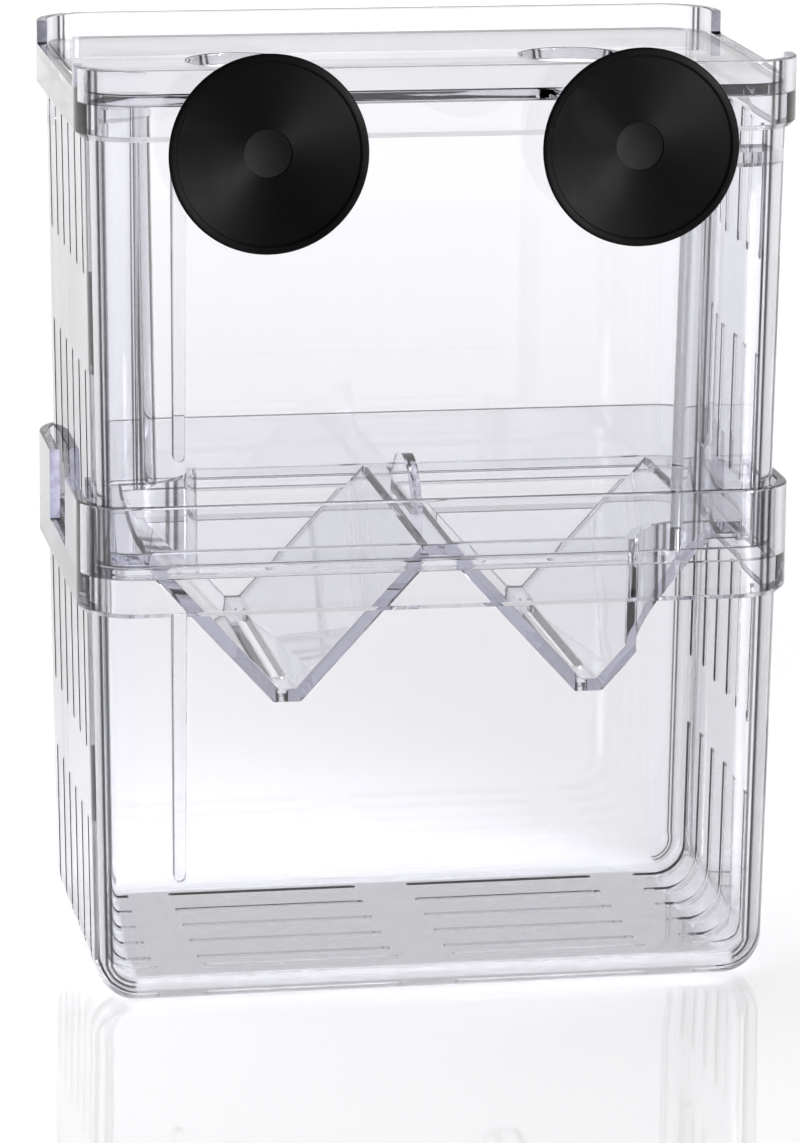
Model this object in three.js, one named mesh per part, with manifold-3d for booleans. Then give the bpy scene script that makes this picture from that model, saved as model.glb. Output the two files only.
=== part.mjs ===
// Fish breeding box in clear plastic: a lower box for the fry, a tray with two V troughs that rests
// in the lower box's collar, a bottomless upper box for the mother fish that stands on the tray, a
// lid in the upper box's collar, and two black suction cups in the upper box's front wall.
// Millimetres, +Z up, front towards -Y, origin in the middle of the lower box's underside.

import * as THREE from "three";
import { mergeVertices } from "three/addons/utils/BufferGeometryUtils.js";
import Module from "manifold-3d";

const wasm = await Module();
wasm.setup();

// Overall size, over the collars
const boxWidth = 130;
const boxDepth = 80.3;
const boxHeight = 171.6;

// Walls and their slope
const wall = 2;
const floorThickness = 3;
const rimWall = 1.85;
const draftShare = 0.0143;
const bottomRadius = 8;
const collarRadius = 10.3;
const collarStep = 1.8;
const collarChamfer = 1;

// Heights of the lower box and of the upper one, each from its own lowest point
const lowerHeight = 93.8;
const lowerCollarHeight = 20.2;
const lowerLedgeDepth = 13.4;
const upperCollarHeight = 12.6;
const upperLedgeDepth = 6.5;

// Openings in the rims for a fingertip
const windowWidth = 25;
const notchWidth = 57;
const notchDepth = 4.3;

// Water slots
const slotWidth = 1.6;
const slotPitch = 10;
const slotRows = 6;
const slotTopGap = 0.6;
const lowerSlotEndShare = 0.634;
const lowerSlotStartShare = 0.457;
const upperSlotEndShare = 0.667;
const upperSlotStartShare = 0.442;
const upperSlotFootShare = 0.105;
const sideSlotReach = 15;
const floorSlotNear = 5;
const floorSlotBridge = 8.45;

// Ribs on the front walls
const ribInset = 15.5;
const ribTopWidth = 2.75;
const ribEndWidth = 2.05;
const lowerRibLengthShare = 0.68;
const upperRibLengthShare = 0.76;

// Tray
const flangeThickness = 2;
const deckThickness = 2.3;
const trayPlate = 2.2;
const trayGap = 0.35;
const deckGap = 0.5;
const troughGap = 0.5;
const webWidth = 2;
const ridgeWidth = 5.3;
const deckEdge = 6.95;
const troughDepth = 28.2;
const troughFloorWidth = 3;
const drainWidth = 2.3;
const drainLengthShare = 0.73;
const tabLength = 22;
const tabHeight = 9.3;
const tabThickness = 2.1;

// Quarter-round cut-outs at the tray's front right and back left corners
const pocketLength = 28.6;
const pocketDepthShare = 0.2125;
const pocketRadius = 12;
const pocketWall = 1.8;

// Lid
const lidThickness = 2.2;
const lidGap = 0.4;
const lidHoleDiameter = 19.4;
const lidHoleSpacingShare = 0.4754;
const lidHoleY = 2.5;

// Suction cups and the bosses that they are plugged into
const cupInset = 32;
const cupDrop = 1.1;
const bossDiameter = 11;
const plugHoleDiameter = 5.2;
const cupGap = 0.3;
const cupDiameter = 35.2;
const cupDepth = 8.3;
const cupRimWidth = 1.25;
const cupRimDepth = 0.6;
const cupRimEdge = 0.2;
const cupDiscDiameter = 8.5;
const cupDiscDrop = 4.1;
const cupDiscStep = 0.2;
const hubDiameter = 10.4;
const hubDepth = 1.8;
const neckDiameter = 4.6;
const headDiameter = 7.4;
const headTipDiameter = 5;
const headLength = 3;

// Fineness of round shapes
const cornerSteps = 8;
const holeSteps = 48;
const slotEndSteps = 5;
const cupSteps = 54;
const tabSteps = 14;

// How far a cutting shape runs past what it cuts
const past = 3;

// Slivers thinner than this, left where cuts almost meet, are merged away
const sliver = 0.005;

// Derived heights
const half = 1 / 2;
const lowerCollarZ = lowerHeight - lowerCollarHeight;
const lowerLedgeZ = lowerHeight - lowerLedgeDepth;
const flangeTopZ = lowerLedgeZ + flangeThickness;
const deckTopZ = flangeTopZ + deckThickness;
const upperCollarZ = boxHeight - upperCollarHeight;
const upperLedgeZ = boxHeight - upperLedgeDepth;
const upperBodyHeight = upperCollarZ - flangeTopZ;
const lidTopZ = upperLedgeZ + lidThickness;

// Half sizes in plan
const collarHalf = new THREE.Vector2(boxWidth * half, boxDepth * half);
const bodyHalf = collarHalf.clone().subScalar(collarStep);
const rimHalf = collarHalf.clone().subScalar(rimWall);
const bodyRadius = collarRadius - collarStep;
const rimRadius = collarRadius - rimWall;

// Places along x, measured in from the side walls
const ribX = bodyHalf.x - ribInset;
const pocketX = collarHalf.x - pocketLength;
const lidHoleSpacing = boxWidth * lidHoleSpacingShare;
const cupSpacing = (collarHalf.x - cupInset) * 2;

// A solid of a closed triangle mesh. Points nearer to each other than a micrometre are one.
function solidOf(geometry) {
  const bare = new THREE.BufferGeometry();
  bare.setAttribute("position", geometry.getAttribute("position"));
  if (geometry.index) bare.setIndex(geometry.index);
  const merged = mergeVertices(bare, 1e-3);
  const vertProperties = merged.getAttribute("position").array;
  const triVerts = new Uint32Array(merged.index.array);
  return new wasm.Manifold(new wasm.Mesh({ numProp: 3, vertProperties, triVerts }));
}

// One named mesh of a solid.
function meshOf(name, solid, material) {
  const { vertProperties, triVerts } = solid.getMesh();
  const geometry = new THREE.BufferGeometry();
  geometry.setAttribute("position", new THREE.BufferAttribute(vertProperties, 3));
  geometry.setIndex(new THREE.BufferAttribute(triVerts, 1));
  geometry.computeVertexNormals();
  const mesh = new THREE.Mesh(geometry, material);
  mesh.name = name;
  return mesh;
}

// Points of a rectangle with rounded corners, anticlockwise.
function roundedRing(halfX, halfY, radius) {
  const ring = [];
  for (let corner = 0; corner < 4; corner++) {
    const sideX = corner === 0 || corner === 3 ? 1 : -1;
    const sideY = corner < 2 ? 1 : -1;
    for (let step = 0; step <= cornerSteps; step++) {
      const angle = (corner + step / cornerSteps) * Math.PI * half;
      const x = sideX * (halfX - radius) + radius * Math.cos(angle);
      const y = sideY * (halfY - radius) + radius * Math.sin(angle);
      ring.push(new THREE.Vector2(x, y));
    }
  }
  return ring;
}

// A solid through levels from the lowest up. Each level is a height and how far the rounded
// rectangle of the given half sizes is drawn in there.
function loft(halves, radius, levels) {
  const leastRadius = radius / 16;
  const positions = [];
  const rings = levels.map(({ z, inset }) => {
    const round = Math.max(radius - inset, leastRadius);
    const ring = roundedRing(halves.x - inset, halves.y - inset, round);
    return ring.map((p) => new THREE.Vector3(p.x, p.y, z));
  });
  const addTriangle = (...corners) => corners.forEach((p) => positions.push(p.x, p.y, p.z));
  const count = rings[0].length;
  const last = rings.length - 1;
  const lowMiddle = new THREE.Vector3(0, 0, levels[0].z);
  const highMiddle = new THREE.Vector3(0, 0, levels[last].z);
  for (let i = 0; i < count; i++) {
    const next = (i + 1) % count;
    addTriangle(lowMiddle, rings[0][next], rings[0][i]);
    addTriangle(highMiddle, rings[last][i], rings[last][next]);
    for (let level = 0; level < last; level++) {
      const low = rings[level];
      const high = rings[level + 1];
      addTriangle(low[i], low[next], high[next]);
      addTriangle(low[i], high[next], high[i]);
    }
  }
  const geometry = new THREE.BufferGeometry();
  geometry.setAttribute("position", new THREE.Float32BufferAttribute(positions, 3));
  return solidOf(geometry);
}

// A solid box between two corners.
function boxBetween(low, high) {
  const size = high.clone().sub(low);
  const geometry = new THREE.BoxGeometry(size.x, size.y, size.z);
  const middle = low.clone().add(high).multiplyScalar(half);
  return solidOf(geometry.translate(middle.x, middle.y, middle.z));
}

// A shape in plan, from one height to another.
function standing(shape, lowZ, highZ, steps = slotEndSteps) {
  const options = { depth: highZ - lowZ, bevelEnabled: false, curveSegments: steps };
  return solidOf(new THREE.ExtrudeGeometry(shape, options).translate(0, 0, lowZ));
}

// A shape drawn in x and z, from one y to another.
function alongY(shape, lowY, highY, steps = slotEndSteps) {
  const options = { depth: highY - lowY, bevelEnabled: false, curveSegments: steps };
  const geometry = new THREE.ExtrudeGeometry(shape, options);
  return solidOf(geometry.rotateX(Math.PI * half).translate(0, highY, 0));
}

// A shape drawn in y and z, from one x to another.
function alongX(shape, lowX, highX, steps = slotEndSteps) {
  const options = { depth: highX - lowX, bevelEnabled: false, curveSegments: steps };
  const geometry = new THREE.ExtrudeGeometry(shape, options);
  return solidOf(geometry.rotateX(Math.PI * half).rotateZ(Math.PI * half).translate(lowX, 0, 0));
}

// A strip with round ends around a line between two points.
function strip(ax, ay, bx, by, width) {
  const along = Math.atan2(by - ay, bx - ax);
  const quarter = Math.PI * half;
  const shape = new THREE.Shape();
  shape.absarc(bx, by, width * half, along - quarter, along + quarter, false);
  shape.absarc(ax, ay, width * half, along + quarter, along + quarter + Math.PI, false);
  return shape;
}

// A solid and its mirror image in the x = 0 plane.
function bothSides(solid) {
  return solid.add(solid.mirror([1, 0, 0]));
}

function joined(solids) {
  return solids.reduce((all, solid) => all.add(solid));
}

// Middles of the slot rows, from front to back.
function rowPositions() {
  const first = -(slotRows - 1) * half * slotPitch;
  return Array.from({ length: slotRows }, (_, row) => first + row * slotPitch);
}

// Slots in both side walls, upright, between two heights.
function sideSlots(lowZ, highZ) {
  const endRoom = slotWidth * half;
  const inner = bodyHalf.x - wall - past;
  const outer = bodyHalf.x + past;
  const cuts = rowPositions().map((y) => {
    return alongX(strip(y, lowZ + endRoom, y, highZ - endRoom, slotWidth), inner, outer);
  });
  return bothSides(joined(cuts));
}

// Slots in the floor, along x, between two distances from the middle.
function floorSlots(nearX, farX) {
  const endRoom = slotWidth * half;
  const cuts = rowPositions().map((y) => {
    const shape = strip(nearX + endRoom, y, farX, y, slotWidth);
    return standing(shape, -past, floorThickness + bottomRadius);
  });
  return bothSides(joined(cuts));
}

// Two ribs under a collar, on the front wall, each narrower towards its round lower end.
function frontRibs(topZ, length) {
  const endRadius = ribEndWidth * half;
  const shape = new THREE.Shape();
  shape.moveTo(ribX + ribTopWidth * half, topZ);
  shape.lineTo(ribX - ribTopWidth * half, topZ);
  shape.lineTo(ribX - endRadius, topZ - length + endRadius);
  shape.absarc(ribX, topZ - length + endRadius, endRadius, Math.PI, Math.PI * 2, false);
  return bothSides(alongY(shape, -collarHalf.y, -bodyHalf.y + wall * half));
}

// A gap in the left and the right rim, open at the top.
function rimGaps(width, floorZ, topZ) {
  const low = new THREE.Vector3(rimHalf.x - rimWall, -width * half, floorZ);
  const high = new THREE.Vector3(collarHalf.x + past, width * half, topZ + past);
  return bothSides(boxBetween(low, high));
}

// A collar with a chamfered lower edge.
function collar(lowZ, highZ) {
  const levels = [
    { z: lowZ, inset: collarChamfer },
    { z: lowZ + collarChamfer, inset: 0 },
    { z: highZ, inset: 0 },
  ];
  return loft(collarHalf, collarRadius, levels);
}

// Levels of a fillet round a bottom edge, from a height up to where the wall begins.
function filletLevels(baseZ, radius, inset) {
  return Array.from({ length: cornerSteps + 1 }, (_, step) => {
    const angle = (step / cornerSteps) * Math.PI * half;
    return {
      z: baseZ + radius * (1 - Math.cos(angle)),
      inset: inset + radius * (1 - Math.sin(angle)),
    };
  });
}

// Lower box: a drafted body with rounded bottom edges, a collar, and a ledge inside it
function lowerBox() {
  const draft = lowerCollarZ * draftShare;
  const body = loft(bodyHalf, bodyRadius, [
    ...filletLevels(0, bottomRadius, draft),
    { z: lowerCollarZ, inset: 0 },
    { z: lowerLedgeZ, inset: 0 },
  ]);
  const innerHalf = bodyHalf.clone().subScalar(wall);
  const cavity = loft(innerHalf, bodyRadius - wall, [
    ...filletLevels(floorThickness, bottomRadius - wall, draft),
    { z: lowerLedgeZ, inset: 0 },
    { z: lowerHeight, inset: 0 },
  ]);
  const recess = loft(rimHalf, rimRadius, [
    { z: lowerLedgeZ, inset: 0 },
    { z: lowerHeight + past, inset: 0 },
  ]);
  const slotTopZ = lowerCollarZ - slotTopGap;
  const wrapX = bodyHalf.x - wall - sideSlotReach * (1 - wall / bottomRadius);
  const shell = joined([body, collar(lowerCollarZ, lowerHeight)]);
  return joined([shell, frontRibs(lowerCollarZ + collarChamfer, lowerCollarZ * lowerRibLengthShare)])
    .subtract(cavity)
    .subtract(recess)
    .subtract(rimGaps(windowWidth, lowerLedgeZ, lowerHeight))
    .subtract(sideSlots(lowerCollarZ * lowerSlotEndShare, slotTopZ))
    .subtract(sideSlots(-past, lowerCollarZ * lowerSlotStartShare))
    .subtract(floorSlots(wrapX, boxWidth * half + past))
    .subtract(floorSlots(floorSlotNear, wrapX - floorSlotBridge));
}

// Upper box: the same walls and collar without a floor, and two bosses for the suction cups
function upperBox() {
  const draft = upperBodyHeight * draftShare;
  const body = loft(bodyHalf, bodyRadius, [
    { z: flangeTopZ, inset: draft },
    { z: upperCollarZ, inset: 0 },
    { z: upperLedgeZ, inset: 0 },
  ]);
  const innerHalf = bodyHalf.clone().subScalar(wall);
  const cavity = loft(innerHalf, bodyRadius - wall, [
    { z: flangeTopZ - past, inset: draft },
    { z: flangeTopZ, inset: draft },
    { z: upperCollarZ, inset: 0 },
    { z: boxHeight, inset: 0 },
  ]);
  const recess = loft(rimHalf, rimRadius, [
    { z: upperLedgeZ, inset: 0 },
    { z: boxHeight + past, inset: 0 },
  ]);
  const slotZ = (share) => flangeTopZ + upperBodyHeight * share;
  const shell = joined([body, collar(upperCollarZ, boxHeight), cupBosses()]);
  return joined([shell, frontRibs(upperCollarZ + collarChamfer, upperBodyHeight * upperRibLengthShare)])
    .subtract(cavity)
    .subtract(recess)
    .subtract(rimGaps(notchWidth, boxHeight - notchDepth, boxHeight))
    .subtract(sideSlots(slotZ(upperSlotEndShare), upperCollarZ - slotTopGap))
    .subtract(sideSlots(slotZ(upperSlotFootShare), slotZ(upperSlotStartShare)))
    .subtract(plugHoles());
}

const cupZ = upperCollarZ - cupDrop;

// Round shapes through the front wall at both cups, from one y to another.
function frontDiscs(diameter, lowY, highY) {
  const shape = new THREE.Shape();
  shape.absarc(cupSpacing * half, cupZ, diameter * half, 0, Math.PI * 2, false);
  return bothSides(alongY(shape, lowY, highY, holeSteps * half));
}

function cupBosses() {
  return frontDiscs(bossDiameter, -collarHalf.y, -bodyHalf.y + wall * half);
}

function plugHoles() {
  return frontDiscs(plugHoleDiameter, -collarHalf.y - past, -bodyHalf.y + wall + past);
}

const deckHalf = bodyHalf.clone().subScalar(wall + upperBodyHeight * draftShare + deckGap);
const flangeHalf = rimHalf.clone().subScalar(trayGap);
const deckRadius = bodyRadius - wall - upperBodyHeight * draftShare;
const troughHalfY = bodyHalf.y - wall - lowerCollarZ * draftShare * half - troughGap;

// Slope of the trough plates, and half the troughs' width at a height, inside and outside
const mouthWidth = deckHalf.x - deckEdge - ridgeWidth * half;
const troughX = (ridgeWidth + mouthWidth) * half;
const troughBottomZ = deckTopZ - troughDepth;
const troughFloorZ = troughBottomZ + trayPlate;
const slopeRun = (mouthWidth - troughFloorWidth) * half;
const slopeAngle = Math.atan2(deckTopZ - troughFloorZ, slopeRun);
const plateAcross = trayPlate / Math.sin(slopeAngle);
const insideAt = (z) => troughFloorWidth * half + (z - troughFloorZ) / Math.tan(slopeAngle);
const outsideAt = (z) => insideAt(z) + plateAcross;

// The tray's underside in x and z, and above it either the troughs or a level top.
function trayOutline(hollow) {
  const low = troughBottomZ;
  const under = flangeTopZ;
  const points = [
    [deckHalf.x, lowerLedgeZ],
    [deckHalf.x, deckTopZ],
  ];
  const mouth = [
    [troughX + insideAt(deckTopZ), deckTopZ],
    [troughX + insideAt(troughFloorZ), troughFloorZ],
    [troughX - insideAt(troughFloorZ), troughFloorZ],
    [troughX - insideAt(deckTopZ), deckTopZ],
  ];
  if (hollow) points.push(...mouth);
  points.push(...points.map(([x, z]) => [-x, z]).reverse());
  const underside = [
    [troughX - outsideAt(under), under],
    [troughX - outsideAt(low), low],
    [troughX + outsideAt(low), low],
    [troughX + outsideAt(under), under],
    [deckHalf.x - webWidth, under],
    [deckHalf.x - webWidth, lowerLedgeZ],
  ];
  points.push(...underside.map(([x, z]) => [-x, z]).reverse(), ...underside);
  return new THREE.Shape(points.map(([x, z]) => new THREE.Vector2(x, z)));
}

// The front right cut-out in plan, grown outwards by a distance.
function pocketShape(grow) {
  const left = pocketX - grow;
  const back = -collarHalf.y + boxDepth * pocketDepthShare + grow;
  const radius = pocketRadius + grow;
  const shape = new THREE.Shape();
  shape.moveTo(boxWidth, -boxDepth);
  shape.lineTo(boxWidth, back);
  shape.absarc(left + radius, back - radius, radius, Math.PI * half, Math.PI, false);
  shape.lineTo(left, -boxDepth);
  return shape;
}

// Both cut-outs, from one height to another. Half a turn about z takes one to the other.
function pockets(grow, lowZ, highZ) {
  const front = standing(pocketShape(grow), lowZ, highZ, tabSteps);
  return front.add(front.rotate([0, 0, 180]));
}

// The lifting tab: half an ellipse that stands on the ridge.
function liftingTab() {
  const rootZ = flangeTopZ + deckThickness * half;
  const shape = new THREE.Shape();
  shape.moveTo(-tabLength * half, rootZ);
  shape.lineTo(tabLength * half, rootZ);
  shape.lineTo(tabLength * half, deckTopZ);
  shape.absellipse(0, deckTopZ, tabLength * half, tabHeight, 0, Math.PI, false, 0);
  return alongX(shape, -tabThickness * half, tabThickness * half, tabSteps);
}

// Tray: a flange on the ledge, a deck with two V troughs inside it, a tab and two corner cut-outs
function tray() {
  const flange = loft(flangeHalf, rimRadius - trayGap, [
    { z: lowerLedgeZ, inset: 0 },
    { z: flangeTopZ, inset: 0 },
  ]);
  const rim = loft(deckHalf, deckRadius, [
    { z: lowerLedgeZ, inset: 0 },
    { z: deckTopZ, inset: 0 },
  ]);
  const inside = loft(deckHalf.clone().subScalar(webWidth), deckRadius - webWidth, [
    { z: lowerLedgeZ - past, inset: 0 },
    { z: deckTopZ + past, inset: 0 },
  ]);
  const within = loft(deckHalf, deckRadius, [
    { z: troughBottomZ - past, inset: 0 },
    { z: deckTopZ + past, inset: 0 },
  ]);
  const plates = alongY(trayOutline(true), -deckHalf.y, deckHalf.y).intersect(within);
  const lowCorner = new THREE.Vector3(-deckHalf.x + webWidth, -troughHalfY, troughBottomZ - past);
  const highCorner = new THREE.Vector3(deckHalf.x - webWidth, troughHalfY, lowerLedgeZ);
  const ends = alongY(trayOutline(true), -troughHalfY, troughHalfY);
  const troughs = ends.intersect(boxBetween(lowCorner, highCorner));
  const whole = joined([flange, rim]).subtract(inside).add(plates).add(troughs);
  const solidBelow = alongY(trayOutline(false), -troughHalfY, troughHalfY).intersect(within);
  const cutLowZ = troughBottomZ - past;
  const cutHighZ = deckTopZ + past;
  const grown = pockets(pocketWall, cutLowZ, cutHighZ);
  const skin = grown.subtract(pockets(0, cutLowZ, cutHighZ));
  const drainHalf = new THREE.Vector2(drainWidth, troughHalfY * 2 * drainLengthShare);
  drainHalf.multiplyScalar(half);
  const drainLow = new THREE.Vector3(troughX - drainHalf.x, -drainHalf.y, cutLowZ);
  const drainHigh = new THREE.Vector3(troughX + drainHalf.x, drainHalf.y, troughFloorZ + past);
  return whole
    .subtract(grown)
    .add(skin.intersect(solidBelow))
    .subtract(bothSides(boxBetween(drainLow, drainHigh)))
    .add(liftingTab())
    .asOriginal()
    .simplify(sliver);
}

// Lid: a plate with rounded corners and two round holes
function lid() {
  const plate = loft(rimHalf.clone().subScalar(lidGap), rimRadius - lidGap, [
    { z: upperLedgeZ, inset: 0 },
    { z: lidTopZ, inset: 0 },
  ]);
  const hole = new THREE.Shape();
  hole.absarc(lidHoleSpacing * half, lidHoleY, lidHoleDiameter * half, 0, Math.PI * 2, false);
  const holeSolid = standing(hole, upperLedgeZ - past, lidTopZ + past, holeSteps);
  return plate.subtract(bothSides(holeSolid));
}

// Suction cup on the right: head, neck and cup in one, turned about y
function suctionCup() {
  const wallIn = -bodyHalf.y + wall;
  const wallOut = -collarHalf.y;
  const back = wallOut - cupGap;
  const front = back - cupDepth;
  const rimRadiusOut = cupDiameter * half;
  const rimRadiusIn = rimRadiusOut - cupRimWidth;
  const profile = [
    [0, wallIn + cupGap + headLength],
    [headTipDiameter * half, wallIn + cupGap + headLength],
    [headDiameter * half, wallIn + cupGap],
    [neckDiameter * half, wallIn + cupGap],
    [neckDiameter * half, back],
    [hubDiameter * half, back],
    [hubDiameter * half, back - hubDepth],
    [rimRadiusOut - cupRimDepth, front + cupRimDepth * 2],
    [rimRadiusOut, front + cupRimDepth],
    [rimRadiusOut, front + cupRimEdge],
    [rimRadiusOut - cupRimEdge, front],
    [rimRadiusIn, front],
    [cupDiscDiameter * half, front + cupDiscDrop],
    [cupDiscDiameter * half, front + cupDiscDrop + cupDiscStep],
    [0, front + cupDiscDrop + cupDiscStep],
  ];
  const points = profile.reverse().map(([r, y]) => new THREE.Vector2(r, y));
  const geometry = new THREE.LatheGeometry(points, cupSteps);
  return solidOf(geometry.translate(cupSpacing * half, 0, cupZ));
}

// Materials
const clearPlastic = () => {
  return new THREE.MeshStandardMaterial({
    color: 0xe6e8f0,
    roughness: 0.05,
    transparent: true,
    opacity: 0.35,
  });
};
const blackRubber = () => new THREE.MeshStandardMaterial({ color: 0x141414, roughness: 0.5 });

const cup = suctionCup();
const group = new THREE.Group();
group.add(meshOf("lower_box", lowerBox(), clearPlastic()));
group.add(meshOf("v_tray", tray(), clearPlastic()));
group.add(meshOf("upper_box", upperBox(), clearPlastic()));
group.add(meshOf("lid", lid(), clearPlastic()));
group.add(meshOf("suction_cup_right", cup, blackRubber()));
group.add(meshOf("suction_cup_left", cup.mirror([1, 0, 0]), blackRubber()));

export default group;
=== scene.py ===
# %% [markdown]
# # A fish breeding box in clear plastic
# Two moulded boxes stand one on the other: a lower one for the fry, and a bottomless upper one
# for the mother fish. Between them lies a tray with two V troughs, on top a lid with two holes,
# and two black suction cups hold the whole thing on an aquarium's front glass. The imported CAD
# model gives every place, so it is loaded first and nothing has to be fitted to it by eye.

# %% Load the frame
import math

import bmesh
import bpy
from mathutils import Matrix, Vector


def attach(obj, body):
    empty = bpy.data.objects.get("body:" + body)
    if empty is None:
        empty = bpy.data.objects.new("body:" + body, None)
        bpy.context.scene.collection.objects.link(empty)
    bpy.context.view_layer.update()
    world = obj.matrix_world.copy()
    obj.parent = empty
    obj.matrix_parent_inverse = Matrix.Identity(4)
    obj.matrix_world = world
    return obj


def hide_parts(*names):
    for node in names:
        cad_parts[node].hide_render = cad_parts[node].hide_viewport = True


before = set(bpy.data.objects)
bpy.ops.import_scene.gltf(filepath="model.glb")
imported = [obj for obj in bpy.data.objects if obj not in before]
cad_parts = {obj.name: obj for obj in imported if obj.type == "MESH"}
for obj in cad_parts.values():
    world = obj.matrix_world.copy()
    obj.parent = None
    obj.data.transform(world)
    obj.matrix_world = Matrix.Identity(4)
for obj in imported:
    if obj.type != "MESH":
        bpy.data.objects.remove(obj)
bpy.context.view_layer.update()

# %% [markdown]
# ## Sizes
# The sizes are those of the CAD model, in millimetres, because a moulded part is drawn in
# millimetres. Meshes are in metres, so the helpers multiply by MM when they make a point. The
# upper box stands on the tray's flange, at the height SEAT. Pieces that touch in the real box are
# held a hair apart here. Clear solids that share a face would otherwise fight over it, and light
# would not know which one it is in.

# %% Sizes in millimetres
MM = 0.001
HAIR = 0.04

BOX_HALF = (65.0, 40.15)
BOX_RADIUS = 10.3
WALL = 2.0
RIM_WALL = 1.85
COLLAR_STEP = 1.8
DRAFT = 0.0143

SEAT = 82.4
LOWER = {"inside": 3.0, "collar": 73.6, "ledge": 80.4, "rim": 93.8}
UPPER = {"foot": SEAT + HAIR, "collar": 159.0, "ledge": 165.1, "rim": 171.6}
BOTTOM_RADIUS = 8.0
CORNER_STEPS = 16
RIB_X = 47.7
LOWER_GAP, UPPER_GAP = 25.0, 57.0
ROW = {"Slot width": 1.6 * MM, "Spacing": 10 * MM, "Rows": 6}

print("outside:", [2 * v for v in BOX_HALF], "mm, height", UPPER["rim"], "mm")

# %% [markdown]
# ## The camera
# The picture was taken from a little to the left and a little above. The camera's place and turn
# come from matching the box's corners to the picture, so they are written out as they are.
# A long lens, from about a metre away, keeps the walls nearly parallel.

# %% Camera
AZIMUTH, ELEVATION, ROLL = math.radians(10.01), math.radians(13.37), math.radians(0.44)
toward = Vector((math.sin(AZIMUTH) * math.cos(ELEVATION),
                 math.cos(AZIMUTH) * math.cos(ELEVATION),
                 -math.sin(ELEVATION)))
level = Vector((math.cos(AZIMUTH), -math.sin(AZIMUTH), 0))
upward = level.cross(toward)
right = math.cos(ROLL) * level + math.sin(ROLL) * upward
above = -math.sin(ROLL) * level + math.cos(ROLL) * upward

camera_data = bpy.data.cameras.new("camera")
camera_data.lens = 170.14
camera_data.sensor_width = 36
camera_data.clip_start = 0.05
camera = bpy.data.objects.new("camera", camera_data)
bpy.context.scene.collection.objects.link(camera)
turn = Matrix((right, above, -toward)).transposed().to_4x4()
camera.matrix_world = Matrix.Translation(Vector((-171.35, -965.60, 304.26)) * MM) @ turn
bpy.context.scene.camera = camera
print("camera", round(camera.location.length, 3), "m from the origin")

# %% [markdown]
# ## Floor, backdrop and light
# Clear plastic has hardly any look of its own. It shows what is behind it, bent a little, so the
# set is plain: a white sweep of glossy card, a soft light from above and weaker ones from the
# sides. The card is lit like everything else and keeps the shadow. What light leaves grey, a
# little glow makes up, and only rays from the camera, the plastic or a mirror see that glow.

# %% Small helpers for nodes and objects
def node(tree, kind, place=(0, 0), **values):
    """Adds a node and sets its plain properties and its unlinked inputs."""
    made = tree.nodes.new(kind)
    made.location = place
    for key, value in values.items():
        if hasattr(made, key):
            setattr(made, key, value)
        else:
            made.inputs[key.replace("_", " ")].default_value = value
    return made


def reckon(tree, operation, a, b=0.0):
    """A Math node with linked or plain inputs."""
    made = node(tree, "ShaderNodeMath", operation=operation)
    for socket, value in zip(made.inputs, (a, b)):
        if isinstance(value, bpy.types.NodeSocket):
            tree.links.new(value, socket)
        else:
            socket.default_value = value
    return made.outputs[0]


def new_object(name, mesh, material=None):
    made = bpy.data.objects.new(name, mesh)
    bpy.context.scene.collection.objects.link(made)
    if material:
        made.data.materials.append(material)
    return made


# %% Floor and backdrop
def seen_rays(tree):
    """1 for rays from the camera and for those that plastic has bent or mirrored."""
    rays = node(tree, "ShaderNodeLightPath")
    value = rays.outputs["Is Camera Ray"]
    for name in ("Is Glossy Ray", "Is Transmission Ray"):
        value = reckon(tree, "MAXIMUM", value, rays.outputs[name])
    return value


def smooth_step(tree, value, low, high, to_low, to_high):
    """Goes softly from to_low, where value is low, to to_high, where it is high."""
    made = node(tree, "ShaderNodeMapRange", interpolation_type="SMOOTHSTEP", From_Min=low,
                From_Max=high, To_Min=to_low, To_Max=to_high)
    tree.links.new(value, made.inputs["Value"])
    return made.outputs["Result"]


def sweep_material():
    """White glossy card. Its glow is weak under the box, so the shadow stays, and grows away."""
    made = bpy.data.materials.new("white sweep")
    made.use_nodes = True
    tree = made.node_tree
    link = tree.links.new
    surface = tree.nodes["Principled BSDF"]
    surface.inputs["Base Color"].default_value = (0.82, 0.817, 0.82, 1)
    surface.inputs["Roughness"].default_value = 0.03
    surface.inputs["IOR"].default_value = 2.0
    surface.inputs["Emission Color"].default_value = (1.0, 0.995, 1.0, 1)
    where = node(tree, "ShaderNodeTexCoord")
    away = node(tree, "ShaderNodeVectorMath", operation="LENGTH")
    link(where.outputs["Object"], away.inputs[0])
    glow = smooth_step(tree, away.outputs["Value"], 0.1, 1.0, 0.17, 0.42)
    link(reckon(tree, "MULTIPLY", seen_rays(tree), glow), surface.inputs["Emission Strength"])
    grain = node(tree, "ShaderNodeTexNoise", Scale=900.0, Detail=3.0)
    bump = node(tree, "ShaderNodeBump", Strength=0.05, Distance=0.00005)
    link(grain.outputs["Fac"], bump.inputs["Height"])
    link(bump.outputs["Normal"], surface.inputs["Normal"])
    return made


def sweep_mesh(half_width, front, back, top, bend):
    """A sheet that lies on the floor and curves up behind."""
    line = [(front, 0.0)]
    for step in range(17):
        angle = step / 16 * math.pi / 2
        line.append((back - bend + bend * math.sin(angle), bend * (1 - math.cos(angle))))
    line.append((back, top))
    mesh = bpy.data.meshes.new("sweep")
    points = [(x, y, z) for y, z in line for x in (-half_width, half_width)]
    faces = [(2 * i, 2 * i + 1, 2 * i + 3, 2 * i + 2) for i in range(len(line) - 1)]
    mesh.from_pydata(points, [], faces)
    mesh.update()
    mesh.shade_smooth()
    return mesh


sweep = new_object("sweep", sweep_mesh(3.0, -3.0, 3.0, 3.0, 1.2), sweep_material())


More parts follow.
